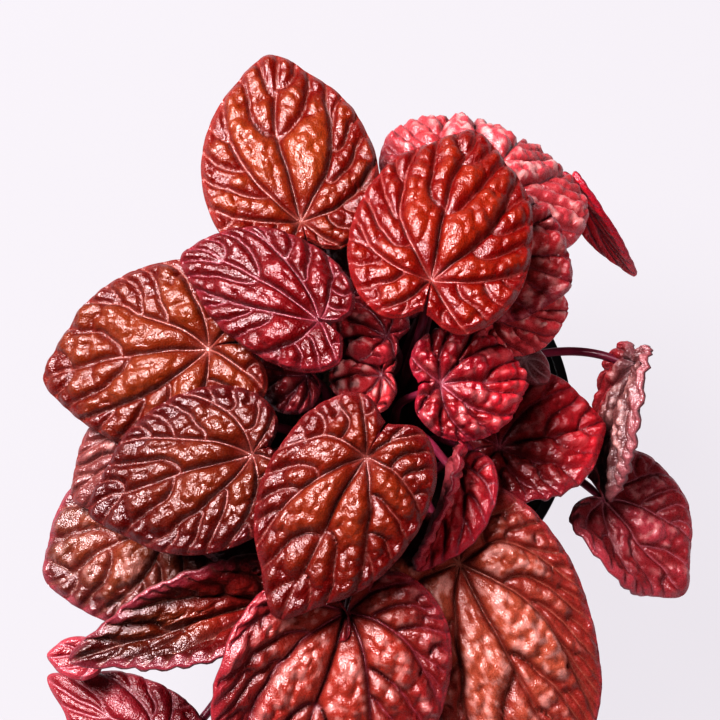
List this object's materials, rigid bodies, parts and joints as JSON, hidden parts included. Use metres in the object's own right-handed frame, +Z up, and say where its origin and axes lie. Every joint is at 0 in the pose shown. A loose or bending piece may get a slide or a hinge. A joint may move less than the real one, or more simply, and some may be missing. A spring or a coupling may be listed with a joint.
{
  "type": "potted ripple peperomia",
  "caption": "Rosette of heart-shaped, deeply rippled red leaves on bent stalks, growing from soil in a round nursery pot.",
  "frame": {"origin": "centre of the pot's flat underside", "axes": "+Z up through the rosette, -Y towards the side where the leaves reach out furthest, +X to the right of it"},
  "size_m": [0.1739, 0.2013, 0.1623],
  "materials": {
    "pot_plastic": "satin moulded, black",
    "potting_soil": "damp, crumbly, dark brown",
    "leaf_rust": "waxy, rust brown",
    "leaf_ember": "waxy, orange red",
    "leaf_russet": "waxy, brown red",
    "leaf_salmon": "waxy, salmon brown",
    "leaf_brown": "waxy, olive brown to red",
    "leaf_scarlet": "waxy, bright crimson, translucent",
    "leaf_crimson": "waxy, crimson pink",
    "leaf_rose": "waxy, rose pink",
    "leaf_ash_pink": "waxy, greyish pink",
    "leaf_maroon": "waxy, dark maroon"
  },
  "bodies": {
    "root": {"pot": "pot_plastic", "soil": "potting_soil", "leaf_01": "leaf_rust", "leaf_02": "leaf_ember", "leaf_03": "leaf_rose", "leaf_04": "leaf_scarlet", "leaf_05": "leaf_crimson", "leaf_06": "leaf_rust", "leaf_07": "leaf_russet", "leaf_08": "leaf_russet", "leaf_09": "leaf_maroon", "leaf_10": "leaf_crimson", "leaf_11": "leaf_scarlet", "leaf_12": "leaf_crimson", "leaf_13": "leaf_maroon", "leaf_14": "leaf_salmon", "leaf_15": "leaf_crimson", "leaf_16": "leaf_brown", "leaf_17": "leaf_brown", "leaf_18": "leaf_russet", "leaf_19": "leaf_rose", "leaf_20": "leaf_ash_pink", "leaf_21": "leaf_rose", "leaf_22": "leaf_maroon", "leaf_23": "leaf_crimson", "leaf_24": "leaf_maroon", "leaf_25": "leaf_maroon", "leaf_26": "leaf_maroon", "leaf_27": "leaf_ash_pink", "leaf_28": "leaf_maroon", "leaf_29": "leaf_maroon", "leaf_30": "leaf_maroon", "leaf_31": "leaf_russet", "leaf_32": "leaf_maroon", "leaf_33": "leaf_rose"}
  },
  "joints": []
}
